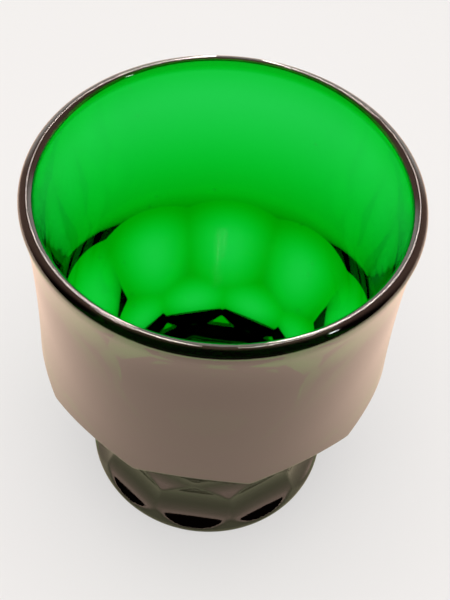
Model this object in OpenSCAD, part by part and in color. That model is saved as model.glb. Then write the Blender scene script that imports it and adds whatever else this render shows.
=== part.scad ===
// Footed tumbler of pressed green glass with a honeycomb of thumbprints.
// Millimetres, +Z up, origin on the table under the middle of the foot.

/* [Overall] */
// Height from the table to the top of the lip
glass_height = 100.5; // [88:0.5:122]
// Outside diameter of the mouth
mouth_diameter = 83; // [80:0.5:100]
// Outside diameter of the foot
foot_diameter = 64.6; // [62:0.2:78]

/* [Upper bowl] */
// Thickness of the lip, which is rounded over its whole width
lip_thickness = 3.2; // [2.4:0.1:3.6]
// Height of the fire-polished band below the top of the lip
lip_band = 6; // [3:0.5:10]
// How far the neck, the slim place of the plain wall, lies inside the mouth
neck_depth = 0.9; // [0.4:0.1:1.6]
// Drop from the top of the outer wall, where the lip rounds over, to the neck
neck_drop = 12.3; // [9:0.1:18]

/* [Lower bowl] */
// Height of the shoulder, where the bowl is widest
shoulder_height = 49.2; // [46:0.2:56]
// How far the shoulder stands out beyond the neck
shoulder_flare = 1.5; // [0.8:0.1:2.4]
// Thickness of the glass at the shoulder, measured level to the bend inside
shoulder_wall = 4.2; // [3.8:0.1:5.4]
// Height of the bend inside the bowl above the shoulder
bend_rise = 2.8; // [2:0.2:5]
// Radius that rounds the bend inside the bowl
bend_round = 40; // [20:1:60]
// How far the lower end of the straight taper stands out beyond the waist
taper_flare = 4.3; // [4:0.1:5.5]
// Height of the lower end of the straight taper above the waist
taper_rise = 15; // [13:0.5:16]

/* [Foot] */
// Height of the waist between bowl and foot
waist_height = 15; // [13:0.5:18]
// How far the foot stands out beyond the waist
foot_flare = 2.1; // [1.6:0.1:3]
// Thickness of the glass from the waist to the corner of the floor, measured level
waist_wall = 11.2; // [10.4:0.1:13]
// Drop from the waist to the floor of the bowl
floor_drop = 3.5; // [2:0.5:4.5]
// Radius of the round corner between floor and wall inside
floor_corner = 6; // [4:0.5:9]
// Drop from the waist to the level plane in which the foot meets the bowl
foot_joint_drop = 6.5; // [5.5:0.5:8]
// Height of the upright band at the edge of the foot
foot_band = 2; // [1.4:0.2:2.4]
// Radius of the round lower edge of the foot
foot_edge = 1; // [0.4:0.1:1.5]
// Diameter of the hollow under the foot, inside the flat resting ring
hollow_diameter = 44; // [20:1:50]
// Depth of the hollow under the foot
hollow_depth = 3.4; // [1:0.2:6]

/* [Honeycomb] */
// Number of thumbprints around each row
print_count = 10; // [9:1:12]
// Turn of the first upper print from the +X side, in degrees
print_turn = 14; // [0:1:35]
// Hollow radius of the upper prints
upper_print_radius = 60; // [52:1:70]
// Lean of the upper prints where they start at the shoulder, in degrees from upright
upper_print_lean = 34.5; // [33:0.5:36]
// How far the upper prints stay outside the straight line between two ridges of the shoulder
upper_print_swell = 0.2; // [0.1:0.05:0.5]
// Hollow radius of the middle prints
middle_print_radius = 12; // [11:0.5:13]
// Depth of the middle prints inside the waist
middle_print_depth = 3.3; // [2.9:0.1:3.6]
// Height of the deepest line of the middle prints above the waist
middle_print_rise = 5.6; // [5:0.1:6.4]
// Hollow radius of the foot prints
foot_print_radius = 16; // [14.5:0.5:17]
// Depth of the foot prints inside the waist
foot_print_depth = 2.6; // [2.2:0.1:2.8]
// Drop from the waist to the deepest line of the foot prints
foot_print_drop = 1.1; // [0.6:0.1:1.6]

/* [Hidden] */
$fn = 96;
// Steps round the full circle of a long shallow arc
long_arc_fn = 720;
// Steps along a rounded corner of a section
corner_steps = 10;
// Straight steps along the long shallow curve from the neck to the shoulder
neck_steps = 12;
glass_green = "#0f6b2c";

mouth_r = mouth_diameter / 2;
neck_r = mouth_r - neck_depth;
shoulder_r = neck_r + shoulder_flare;
foot_r = foot_diameter / 2;
waist_r = foot_r - foot_flare;
taper_r = waist_r + taper_flare;
lip_r = lip_thickness / 2;

lip_middle = glass_height - lip_r;
lip_height = glass_height - lip_band;
neck_height = lip_middle - neck_drop;
taper_height = waist_height + taper_rise;
floor_height = waist_height - floor_drop;
foot_height = waist_height - foot_joint_drop;
// The plain wall starts here, above the arched tops of the upper prints
bowl_joint = (shoulder_height + neck_height) / 2;

print_step = 360 / print_count;

// Radius of the arc that sinks by depth over a rise
function arc_radius(depth, rise) = (depth * depth + rise * rise) / (2 * depth);

// Points of the curve that leaves the neck upright and widens down to the shoulder
function neck_curve() =
    let (drop = neck_height - shoulder_height, radius = arc_radius(shoulder_flare, drop))
    [for (i = [0 : neck_steps])
        let (way = drop * (1 - i / neck_steps))
        [neck_r + radius - sqrt(radius * radius - way * way), neck_height - way]];

function toward(from, to) = (to - from) / norm(to - from);

// Points of the round corner of a given radius at the corner point b between a and c
function rounded(a, b, c, radius, steps) =
    let (u = toward(b, a), v = toward(b, c))
    let (half = acos(u * v) / 2, middle = b + toward([0, 0], u + v) * radius / sin(half))
    let (start = b + u * radius / tan(half) - middle, end = b + v * radius / tan(half) - middle)
    let (sweep = 180 - 2 * half, side = sign(start[0] * end[1] - start[1] * end[0]))
    [for (i = [0 : steps])
        let (t = side * sweep * i / steps)
        middle + [start[0] * cos(t) - start[1] * sin(t), start[0] * sin(t) + start[1] * cos(t)]];

// Half a disc that hollows the outline: its inmost point is at radius r and height z
module hollow_arc(r, z, radius, upward) {
    intersection() {
        translate([r + radius, z]) circle(radius, $fn = long_arc_fn);
        translate([0, upward ? z : z - radius]) square([r + 2 * radius, radius]);
    }
}

// Half section of the glass as a full body, without the inside
module outer_section() {
    edge = rounded([0, 0], [foot_r, 0], [foot_r, foot_band], foot_edge, corner_steps);
    difference() {
        polygon(concat([[0, 0]], edge, [
            [foot_r, foot_band],
            [waist_r, waist_height],
            [taper_r, taper_height]
        ], neck_curve(), [
            [mouth_r, lip_middle],
            [0, lip_middle]
        ]));
        hollow_arc(waist_r, waist_height, arc_radius(foot_r - waist_r, waist_height - foot_band), false);
        hollow_arc(waist_r, waist_height, arc_radius(taper_r - waist_r, taper_height - waist_height), true);
        hollow_arc(neck_r, neck_height, arc_radius(mouth_r - neck_r, lip_middle - neck_height), true);
    }
}

// Half section of the inside: straight taper, bend, steeper taper, round corner and floor
module inner_section() {
    mouth = [mouth_r - lip_thickness, lip_middle];
    bend = [shoulder_r - shoulder_wall, shoulder_height + bend_rise];
    corner = [waist_r - waist_wall, floor_height];
    floor_middle = [0, floor_height];
    polygon(concat(
        [floor_middle],
        rounded(floor_middle, corner, bend, floor_corner, corner_steps),
        rounded(corner, bend, mouth, bend_round, corner_steps),
        [mouth, [0, lip_middle]]
    ));
}

// The glass between two heights, turned round the axis
module ring_of_glass(low, high) {
    rotate_extrude() {
        intersection() {
            difference() {
                outer_section();
                inner_section();
            }
            translate([0, low]) square([shoulder_r + mouth_r, high - low]);
        }
    }
}

// A row of lying rollers that touch the given radius and height, where their surface has the given lean
module print_row(radius, reach, height, lean, turn) {
    for (i = [0 : print_count - 1]) {
        rotate([0, 0, turn + i * print_step])
            translate([reach + radius * cos(lean), 0, height - radius * sin(lean)])
                rotate([90, 0, 0])
                    cylinder(r = radius, h = shoulder_r, center = true);
    }
}

module upper_prints() {
    reach = shoulder_r * cos(print_step / 2) + upper_print_swell;
    print_row(upper_print_radius, reach, shoulder_height, upper_print_lean, print_turn);
}

// These stand half a step round from the rows above and below, so that the ridges make a honeycomb
module middle_prints() {
    reach = waist_r - middle_print_depth;
    print_row(middle_print_radius, reach, waist_height + middle_print_rise, 0, print_turn + print_step / 2);
}

module foot_prints() {
    reach = waist_r - foot_print_depth;
    print_row(foot_print_radius, reach, waist_height - foot_print_drop, 0, print_turn);
}

// Shallow dome that leaves the flat resting ring
module foot_hollow() {
    radius = arc_radius(hollow_depth, hollow_diameter / 2);
    translate([0, 0, hollow_depth - radius]) sphere(radius);
}

module lip() {
    color(glass_green) {
        ring_of_glass(lip_height, lip_middle);
        rotate_extrude() translate([mouth_r - lip_r, lip_middle]) intersection() {
            circle(lip_r);
            translate([-lip_r, 0]) square([lip_thickness, lip_r]);
        }
    }
}

module upper_bowl() {
    color(glass_green) ring_of_glass(bowl_joint, lip_height);
}

module honeycomb_bowl() {
    color(glass_green) difference() {
        ring_of_glass(foot_height, bowl_joint);
        upper_prints();
        middle_prints();
        foot_prints();
    }
}

module foot() {
    color(glass_green) difference() {
        ring_of_glass(0, foot_height);
        foot_prints();
        foot_hollow();
    }
}

lip();
upper_bowl();
honeycomb_bowl();
foot();
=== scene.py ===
import math

import bpy
from mathutils import Matrix, Vector


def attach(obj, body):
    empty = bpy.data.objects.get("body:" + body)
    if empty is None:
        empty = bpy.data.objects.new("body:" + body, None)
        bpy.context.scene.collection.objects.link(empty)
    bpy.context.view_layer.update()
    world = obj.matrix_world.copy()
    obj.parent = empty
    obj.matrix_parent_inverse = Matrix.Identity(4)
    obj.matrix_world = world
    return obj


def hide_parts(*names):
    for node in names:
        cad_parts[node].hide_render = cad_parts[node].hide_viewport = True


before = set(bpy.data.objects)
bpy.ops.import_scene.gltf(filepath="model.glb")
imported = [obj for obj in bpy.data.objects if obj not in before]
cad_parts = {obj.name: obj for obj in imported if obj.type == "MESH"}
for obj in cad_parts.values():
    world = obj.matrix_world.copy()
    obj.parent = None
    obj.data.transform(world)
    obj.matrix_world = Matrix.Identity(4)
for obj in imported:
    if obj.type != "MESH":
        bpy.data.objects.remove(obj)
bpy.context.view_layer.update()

# Sizes of the glass in millimetres. They are those of the part's source, but for the bead under the
# lip, which thins the wall, and the prints, where the lower two rows sit slightly lower
MOUTH_R = 41.5
LIP_R = 1.6
LIP_Z = 98.895
# Corner inside under the lip as radius and height, the radius that rounds it, and how far the round
# of the lip runs on past half a turn, in radians
BEAD, BEAD_ROUND, BEAD_TURN = (39.0, 97.38), 2.0, 0.6
NECK_R, NECK_Z = 40.6, 86.6
SHOULDER_R, SHOULDER_Z = 42.1, 49.2
TAPER_R, TAPER_Z = 34.5, 30.0
WAIST_R, WAIST_Z = 30.2, 15.0
FOOT_R, FOOT_BAND, FOOT_EDGE = 32.3, 2.0, 1.0
HOLLOW_R, HOLLOW_DEPTH = 22.0, 3.4
BEND, BEND_ROUND = (37.9, 52.0), 40.0
CORNER, CORNER_ROUND = (19.0, 11.5), 6.0

# Each row of thumbprints: middle of the pressing roller as radius and height, its radius, the turn
# of the first print in degrees, how much deeper the print is in its middle, its lowest height,
# and how far from its ridges the glass starts to round
PRINTS = 10
UPPER_ROW = (89.69, 15.22, 60.0, 14.0, 0.3, 20.0, 0.5)
MIDDLE_ROW = (38.8, 20.1, 12.0, 32.0, 0.0, 9.0, 0.25)
FOOT_ROW = (43.6, 13.5, 16.0, 14.0, 0.1, 2.0, 0.25)
# Above this height no print is pressed, and above the next one the outline needs fewer points
PRINTS_TOP = 60.0
FINE_TOP = 56.0
# A point within this distance of the blank lies on the outside
ON_BLANK = 0.01
# Steps of the spin round the axis
COLUMNS = 360

# Wave length of the ripple in the glass, in millimetres
RIPPLE = 50 / 7

# The floor lies a hair under the foot, in metres
FLOOR_SIZE, FLOOR_DROP = 3.0, 0.0001

# What the lamps point at, and the place of the camera, in metres
LAMP_AIM = (0, 0, 0.05)
EYE = (0, -0.1305, 0.2350)
# Turn, tilt and roll of the camera in degrees
EYE_YAW, EYE_PITCH, EYE_ROLL = 0.86, 53.05, -4.78
# Focal length and picture height in pixels, sensor height and near clip
FOCAL_PIXELS, PICTURE_PIXELS = 920, 600
SENSOR = 36.0
NEAR_CLIP = 0.01

# Light crosses the wall many times, so it needs many bounces
ALL_BOUNCES, GLOSSY_BOUNCES = 24, 12


def linear(colour):
    """An sRGB hex colour as the linear values that a shader takes."""
    parts = [int(colour[i : i + 2], 16) / 255 for i in (1, 3, 5)]
    values = [c / 12.92 if c <= 0.04045 else ((c + 0.055) / 1.055) ** 2.4 for c in parts]
    return tuple(values) + (1.0,)


def add_node(tree, kind, settings=None, links=None):
    """A node with its settings, by socket or property name, and the links into its sockets."""
    node = tree.nodes.new(kind)
    for name, value in (settings or {}).items():
        if isinstance(name, int) or name in node.inputs:
            node.inputs[name].default_value = value
        else:
            setattr(node, name, value)
    for name, source in (links or {}).items():
        tree.links.new(source, node.inputs[name])
    return node


def new_material(name):
    """A material with an empty node tree."""
    material = bpy.data.materials.new(name)
    material.use_nodes = True
    material.node_tree.nodes.clear()
    return material


def sag(depth, rise, way):
    """How far an arc that sinks by depth over a rise has left its tangent after a way along it."""
    radius = (depth * depth + rise * rise) / (2 * depth)
    return radius - math.sqrt(radius * radius - way * way)


def blank_radius(z):
    """Outside radius of the blank at a height, before the thumbprints are pressed into it."""
    if z <= FOOT_BAND:
        return FOOT_R
    if z <= WAIST_Z:
        return WAIST_R + sag(FOOT_R - WAIST_R, WAIST_Z - FOOT_BAND, WAIST_Z - z)
    if z <= TAPER_Z:
        return WAIST_R + sag(TAPER_R - WAIST_R, TAPER_Z - WAIST_Z, z - WAIST_Z)
    if z <= SHOULDER_Z:
        return TAPER_R + (SHOULDER_R - TAPER_R) * (z - TAPER_Z) / (SHOULDER_Z - TAPER_Z)
    if z <= NECK_Z:
        return NECK_R + sag(SHOULDER_R - NECK_R, NECK_Z - SHOULDER_Z, NECK_Z - z)
    return NECK_R + sag(MOUTH_R - NECK_R, LIP_Z - NECK_Z, z - NECK_Z)


def spread(start, end, steps):
    """Evenly spread values from start to just before end."""
    return [start + (end - start) * i / steps for i in range(steps)]


def line(a, b, steps):
    """Points on the straight line from a to just before b."""
    return list(zip(spread(a[0], b[0], steps), spread(a[1], b[1], steps)))


def round_corner(a, b, c, radius, steps):
    """Points of the round corner at b on the way from a to c."""
    a, b, c = Vector(a), Vector(b), Vector(c)
    u, v = (a - b).normalized(), (c - b).normalized()
    half = u.angle(v) / 2
    middle = b + (u + v).normalized() * radius / math.sin(half)
    start = b + u * radius / math.tan(half) - middle
    end = b + v * radius / math.tan(half) - middle
    turn = math.atan2(start.cross(end), start.dot(end))
    return [
        tuple(middle + Matrix.Rotation(turn * i / steps, 2) @ start) for i in range(steps + 1)
    ]


def glass_outline():
    """Half section of the glass, from the axis under the foot round to the axis in the bowl."""
    dome = (HOLLOW_DEPTH**2 + HOLLOW_R**2) / (2 * HOLLOW_DEPTH)
    points = [
        (r, math.sqrt(dome * dome - r * r) - dome + HOLLOW_DEPTH) for r in spread(0, HOLLOW_R, 12)
    ]
    edge = round_corner((0, 0), (FOOT_R, 0), (FOOT_R, FOOT_BAND), FOOT_EDGE, 6)
    points += line((HOLLOW_R, 0), edge[0], 5) + edge
    heights = spread(FOOT_EDGE, FINE_TOP, 116)[1:] + spread(FINE_TOP, LIP_Z, 15)
    points += [(blank_radius(z), z) for z in heights]
    points += [
        (MOUTH_R - LIP_R + LIP_R * math.cos(t), LIP_Z + LIP_R * math.sin(t))
        for t in spread(0, math.pi + BEAD_TURN, 20)
    ]
    bead = round_corner(points[-1], BEAD, BEND, BEAD_ROUND, 6)
    bend = round_corner(BEAD, BEND, CORNER, BEND_ROUND, 14)
    corner = round_corner(BEND, CORNER, (0, CORNER[1]), CORNER_ROUND, 14)
    points += line(points[-1], bead[0], 3)[1:] + bead
    points += line(bead[-1], bend[0], 14)[1:] + bend
    points += line(bend[-1], corner[0], 12)[1:] + corner
    points += line(corner[-1], (0, CORNER[1]), 8)[1:] + [(0, CORNER[1])]
    return points


def soft_least(a, b, softness):
    """The lesser of two radii, with the ridge between the two surfaces rounded."""
    near = max(softness - abs(a - b), 0) / softness
    return min(a, b) - near * near * softness / 4


def pressed_radius(radius, angle, z):
    """Radius that is left at an angle and height once the rollers have pressed their prints."""
    step = math.tau / PRINTS
    for middle_r, middle_z, roller, turn, hollow, lowest, soft in (UPPER_ROW, MIDDLE_ROW, FOOT_ROW):
        rise = z - middle_z
        if abs(rise) >= roller or z < lowest:
            continue
        reach = middle_r - math.sqrt(roller * roller - rise * rise)
        off = (angle - math.radians(turn)) % step
        for side in (off, off - step):
            across = math.tan(side) / math.tan(step / 2)
            print_r = (reach - hollow * (1 - across * across)) / math.cos(side)
            radius = soft_least(radius, print_r, soft)
    return radius


def make_glass():
    """Spins the outline into a blank and presses the thumbprints into its outside."""
    outline = [Vector((r, 0, z)) / 1000 for r, z in glass_outline()]
    bpy.ops.object.select_all(action="DESELECT")
    bpy.ops.mesh.primitive_plane_add(size=0.002, location=(0, 0, 0))
    glass = bpy.context.object
    glass.name = glass.data.name = "glass"
    bpy.ops.object.mode_set(mode="EDIT")
    bpy.ops.mesh.select_mode(type="VERT")
    bpy.ops.mesh.merge(type="CENTER")
    bpy.ops.transform.translate(value=outline[0])
    for a, b in zip(outline, outline[1:]):
        bpy.ops.mesh.extrude_vertices_move(TRANSFORM_OT_translate={"value": b - a})
    bpy.ops.mesh.select_all(action="SELECT")
    bpy.ops.mesh.spin(steps=COLUMNS, angle=math.tau, center=(0, 0, 0), axis=(0, 0, 1))
    bpy.ops.mesh.select_all(action="SELECT")
    bpy.ops.mesh.remove_doubles(threshold=1e-6)
    bpy.ops.mesh.normals_make_consistent(inside=False)
    bpy.ops.object.mode_set(mode="OBJECT")
    # Cutters would leave slivers that show in clear glass, so the points themselves are pressed in
    polish = glass.data.attributes.new("polish", "FLOAT", "POINT")
    for vertex, shine in zip(glass.data.vertices, polish.data):
        x, y, z = vertex.co * 1000
        radius = math.hypot(x, y)
        outside = z > LIP_Z or radius > blank_radius(z) - ON_BLANK
        shine.value = float(outside)
        if outside and FOOT_EDGE < z < PRINTS_TOP:
            vertex.co.xy *= pressed_radius(radius, math.atan2(y, x), z) / radius
    bpy.ops.object.shade_smooth()
    return glass


def pressed_soda_glass():
    """Soda-lime glass coloured right through with chromium and iron, pressed in a polished mould
    and fire-polished: the eye sees a bright green where it is thin, nearly black where it is
    thick, a hard clear gloss, and a slight ripple where the hot surface chilled on the iron."""
    material = new_material("pressed_green_soda_glass")
    tree = material.node_tree
    place = add_node(tree, "ShaderNodeTexCoord").outputs["Object"]
    # Chill ripple
    ripple = add_node(
        tree,
        "ShaderNodeTexNoise",
        {"Scale": 1000 / RIPPLE, "Detail": 1.0, "Roughness": 0.4},
        {"Vector": place},
    )
    bump = add_node(
        tree,
        "ShaderNodeBump",
        {"Strength": 0.1, "Distance": 0.0002},
        {"Height": ripple.outputs["Fac"]},
    )
    # The outside and the lip carry a coat that mirrors more strongly than plain glass
    polish = add_node(tree, "ShaderNodeAttribute", {"attribute_name": "polish"})
    glass = add_node(
        tree,
        "ShaderNodeBsdfPrincipled",
        {
            "Base Color": linear("#f2fff4"),
            "Roughness": 0.0,
            "IOR": 1.52,
            "Transmission Weight": 1.0,
            "Coat Roughness": 0.02,
            "Coat IOR": 1.85,
        },
        {"Normal": bump.outputs["Normal"], "Coat Weight": polish.outputs["Fac"]},
    )
    depth = add_node(
        tree,
        "ShaderNodeVolumeAbsorption",
        {"Color": (0.0, 0.922, 0.4, 1.0), "Density": 1950.0},
    )
    add_node(
        tree,
        "ShaderNodeOutputMaterial",
        {},
        {"Surface": glass.outputs["BSDF"], "Volume": depth.outputs["Volume"]},
    )
    return material


def pale_cloth():
    """Bleached cotton: nearly white to the eye, and white behind the glass when seen through it,
    with painted shade under the foot, in front and through both walls. What the outside of the
    glass mirrors of it is dimmer and carries painted shade and painted reflection."""
    material = new_material("bleached_cotton")
    tree = material.node_tree
    path = add_node(tree, "ShaderNodeLightPath").outputs
    cloth = add_node(tree, "ShaderNodeBsdfDiffuse", {"Color": linear("#f2f0ee")})
    seen = add_node(tree, "ShaderNodeEmission", {"Color": linear("#eaeaea"), "Strength": 1.0})
    camera = add_node(
        tree, "ShaderNodeMath", {"operation": "MULTIPLY", 1: 0.6}, {0: path["Is Camera Ray"]}
    )
    lit = add_node(
        tree,
        "ShaderNodeMixShader",
        {},
        {0: camera.outputs[0], 1: cloth.outputs[0], 2: seen.outputs[0]},
    )
    place = add_node(tree, "ShaderNodeTexCoord").outputs["Object"]
    reach = add_node(tree, "ShaderNodeVectorMath", {"operation": "LENGTH"}, {0: place})
    depth = add_node(tree, "ShaderNodeSeparateXYZ", {}, {0: place}).outputs["Y"]
    # Painted reflection and shade: the cloth as the outside of the glass mirrors it is painted
    # darker and greener round the foot, paler beside and behind the glass, and nearly black
    # towards the viewer
    # Painted shade: the mirrored cloth turns to the dark olive colour within reach of the foot
    painted_shade_round_foot = add_node(
        tree,
        "ShaderNodeMapRange",
        {"From Min": 0.042, "From Max": 0.078},
        {"Value": reach.outputs["Value"]},
    )
    # Painted light: the mirrored cloth is kept pale behind the glass, and partly beside it, even
    # close to it
    painted_light_behind = add_node(
        tree,
        "ShaderNodeMapRange",
        {"interpolation_type": "SMOOTHSTEP", "From Min": -0.03, "From Max": 0.02, "To Max": 0.7},
        {"Value": depth},
    )
    bright = add_node(
        tree,
        "ShaderNodeMath",
        {"operation": "MAXIMUM"},
        {0: painted_shade_round_foot.outputs["Result"], 1: painted_light_behind.outputs["Result"]},
    )
    # Painted shade: the mirrored cloth is dimmer in front of the glass
    painted_shade_in_front = add_node(
        tree,
        "ShaderNodeMapRange",
        {"interpolation_type": "SMOOTHSTEP", "From Min": -0.08, "From Max": 0.0, "To Min": 0.8},
        {"Value": depth},
    )
    # Painted shade: the mirrored cloth goes nearly black towards the viewer
    edge = add_node(
        tree,
        "ShaderNodeMapRange",
        {"interpolation_type": "SMOOTHSTEP", "From Min": -0.17, "From Max": -0.11, "To Min": 0.03},
        {"Value": depth},
    )
    painted_front_shade = add_node(
        tree,
        "ShaderNodeMath",
        {"operation": "MULTIPLY"},
        {0: painted_shade_in_front.outputs["Result"], 1: edge.outputs["Result"]},
    )
    # Painted shade: the olive colour of the shaded cloth round the foot, as the glass mirrors it
    near = add_node(tree, "ShaderNodeEmission", {"Color": linear("#8f8c70")})
    # Painted reflection: the warm colour of the lit cloth as the glass mirrors it, dimmed by the
    # painted shade in front
    painted_lit_reflection = add_node(
        tree,
        "ShaderNodeEmission",
        {"Color": linear("#ffdec8")},
        {"Strength": painted_front_shade.outputs[0]},
    )
    # Painted reflection: the shaded olive cloth near the foot blended into the warm lit cloth
    # further out
    painted_reflection = add_node(
        tree,
        "ShaderNodeMixShader",
        {},
        {0: bright.outputs[0], 1: near.outputs[0], 2: painted_lit_reflection.outputs[0]},
    )
    outside = add_node(
        tree,
        "ShaderNodeMixShader",
        {},
        {0: path["Is Glossy Ray"], 1: lit.outputs[0], 2: painted_reflection.outputs[0]},
    )
    # The dark glass keeps the light off the cloth under its foot, and the light comes from behind
    shade = add_node(
        tree,
        "ShaderNodeMapRange",
        {"interpolation_type": "SMOOTHSTEP", "From Min": 0.03, "From Max": 0.0312},
        {"Value": reach.outputs["Value"]},
    )
    behind = add_node(
        tree,
        "ShaderNodeMapRange",
        {"interpolation_type": "SMOOTHSTEP", "From Min": -0.02, "From Max": 0.045},
        {"Value": depth},
    )
    glow = add_node(
        tree,
        "ShaderNodeMath",
        {"operation": "MULTIPLY"},
        {0: shade.outputs["Result"], 1: behind.outputs["Result"]},
    )
    # Painted shade: little of it comes through both walls of the glass, which take four crossings,
    # as it is dimmed to a quarter on top of what the glass's own colour takes
    walls = add_node(
        tree,
        "ShaderNodeMapRange",
        {"From Min": 2.0, "From Max": 3.0, "To Min": 1.0, "To Max": 0.25},
        {"Value": path["Transmission Depth"]},
    )
    left = add_node(
        tree,
        "ShaderNodeMath",
        {"operation": "MULTIPLY"},
        {0: glow.outputs[0], 1: walls.outputs["Result"]},
    )
    through = add_node(
        tree,
        "ShaderNodeEmission",
        {"Color": linear("#ffffff")},
        {"Strength": left.outputs[0]},
    )
    both = add_node(
        tree,
        "ShaderNodeMixShader",
        {},
        {0: path["Is Transmission Ray"], 1: outside.outputs[0], 2: through.outputs[0]},
    )
    add_node(tree, "ShaderNodeOutputMaterial", {}, {"Surface": both.outputs[0]})
    return material


def make_floor():
    """The cloth that the glass stands on."""
    bpy.ops.object.select_all(action="DESELECT")
    bpy.ops.mesh.primitive_plane_add(size=FLOOR_SIZE, location=(0, 0, -FLOOR_DROP))
    floor = bpy.context.object
    floor.name = "floor"
    floor.data.materials.append(pale_cloth())


def light_room():
    """A dim warm room: a broad soft ceiling light, and four lamps that show only as glints."""
    world = bpy.data.worlds.new("room")
    bpy.context.scene.world = world
    world.use_nodes = True
    tree = world.node_tree
    tree.nodes.clear()
    path = add_node(tree, "ShaderNodeLightPath").outputs
    fill = add_node(tree, "ShaderNodeBackground", {"Color": linear("#ffffff"), "Strength": 0.25})
    backdrop = add_node(tree, "ShaderNodeBackground", {"Color": linear("#f0f0f0"), "Strength": 1.0})
    soft = add_node(
        tree,
        "ShaderNodeMixShader",
        {},
        {0: path["Is Camera Ray"], 1: fill.outputs[0], 2: backdrop.outputs[0]},
    )
    # Seen in the glass, the room is brown behind it and dark on the viewer's side
    toward = add_node(tree, "ShaderNodeTexCoord").outputs["Generated"]
    depth = add_node(tree, "ShaderNodeSeparateXYZ", {}, {0: toward})
    behind = add_node(
        tree,
        "ShaderNodeMapRange",
        {"interpolation_type": "SMOOTHSTEP", "From Min": -0.2, "From Max": 0.5, "To Min": 0.02},
        {"Value": depth.outputs["Y"]},
    )
    walls = add_node(
        tree,
        "ShaderNodeBackground",
        {"Color": linear("#a38173")},
        {"Strength": behind.outputs["Result"]},
    )
    # The pale window behind the glass shows in it only once, not again in what the glass mirrors of
    # itself
    window = add_node(
        tree,
        "ShaderNodeMapRange",
        {"interpolation_type": "SMOOTHSTEP", "From Min": 0.66, "From Max": 0.80},
        {"Value": depth.outputs["Y"]},
    )
    once = add_node(
        tree, "ShaderNodeMath", {"operation": "LESS_THAN", 1: 1.5}, {0: path["Glossy Depth"]}
    )
    shown = add_node(
        tree,
        "ShaderNodeMath",
        {"operation": "MULTIPLY"},
        {0: window.outputs["Result"], 1: once.outputs[0]},
    )
    sky = add_node(tree, "ShaderNodeBackground", {"Color": linear("#fff4ea"), "Strength": 1.0})
    room = add_node(
        tree,
        "ShaderNodeMixShader",
        {},
        {0: shown.outputs[0], 1: walls.outputs[0], 2: sky.outputs[0]},
    )
    dim = add_node(tree, "ShaderNodeBackground", {"Color": linear("#4a3830"), "Strength": 0.5})
    outside = add_node(
        tree,
        "ShaderNodeMixShader",
        {},
        {0: path["Is Glossy Ray"], 1: soft.outputs[0], 2: room.outputs[0]},
    )
    mix = add_node(
        tree,
        "ShaderNodeMixShader",
        {},
        {0: path["Is Transmission Ray"], 1: outside.outputs[0], 2: dim.outputs[0]},
    )
    add_node(tree, "ShaderNodeOutputWorld", {}, {"Surface": mix.outputs[0]})
    for name, place, size, power, colour in (
        ("ceiling", (0, -0.05, 1.05), (1.2, 1.2), 15.0, "#fff8f4"),
        ("lamp", (0.72, -0.25, 1.0), (0.06, 0.06), 0.4, "#ffffff"),
        ("back_lamp", (-0.2, 0.56, 1.14), (0.08, 0.08), 0.25, "#ffeae0"),
        ("left_pane", (-0.07, 1.1, 0.75), (0.06, 1.3), 2.4, "#fff0e8"),
        ("right_pane", (0.09, 1.1, 0.75), (0.04, 1.3), 1.6, "#fff0e8"),
    ):
        bpy.ops.object.light_add(type="AREA", location=place)
        lamp = bpy.context.object
        lamp.name = name
        lamp.data.shape = "RECTANGLE"
        lamp.data.size, lamp.data.size_y = size
        lamp.data.energy = power
        lamp.data.color = linear(colour)[:3]
        # The ceiling lights the cloth, and the others are only seen as glints
        lamp.visible_glossy = name != "ceiling"
        lamp.visible_diffuse = name == "ceiling"
        lamp.visible_transmission = False
        aim = Vector(LAMP_AIM) - Vector(place)
        lamp.rotation_euler = aim.to_track_quat("-Z", "Y").to_euler()


def place_camera():
    """The photograph's eye: 53 degrees down on the glass from close by, and slightly rolled."""
    yaw, pitch, roll = (math.radians(turn) for turn in (EYE_YAW, EYE_PITCH, EYE_ROLL))
    ahead = Vector(
        (math.sin(yaw) * math.cos(pitch), math.cos(yaw) * math.cos(pitch), -math.sin(pitch))
    )
    right = Vector((math.cos(yaw), -math.sin(yaw), 0))
    down = ahead.cross(right)
    across = math.cos(roll) * right + math.sin(roll) * down
    up = -(math.cos(roll) * down - math.sin(roll) * right)
    turn = Matrix((across, up, -ahead)).transposed()
    data = bpy.data.cameras.new("camera")
    data.sensor_fit = "VERTICAL"
    data.sensor_height = SENSOR
    data.lens = FOCAL_PIXELS / PICTURE_PIXELS * SENSOR
    data.clip_start = NEAR_CLIP
    camera = bpy.data.objects.new("camera", data)
    camera.matrix_world = Matrix.Translation(EYE) @ turn.to_4x4()
    bpy.context.collection.objects.link(camera)
    bpy.context.scene.camera = camera


def main():
    scene = bpy.context.scene
    scene.view_settings.view_transform = "Standard"
    scene.cycles.max_bounces = ALL_BOUNCES
    scene.cycles.transmission_bounces = ALL_BOUNCES
    scene.cycles.glossy_bounces = GLOSSY_BOUNCES
    place_camera()
    make_floor()
    light_room()
    glass = make_glass()
    glass.data.materials.append(pressed_soda_glass())
    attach(glass, "root")
    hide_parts("lip", "upper_bowl", "honeycomb_bowl", "foot")


main()
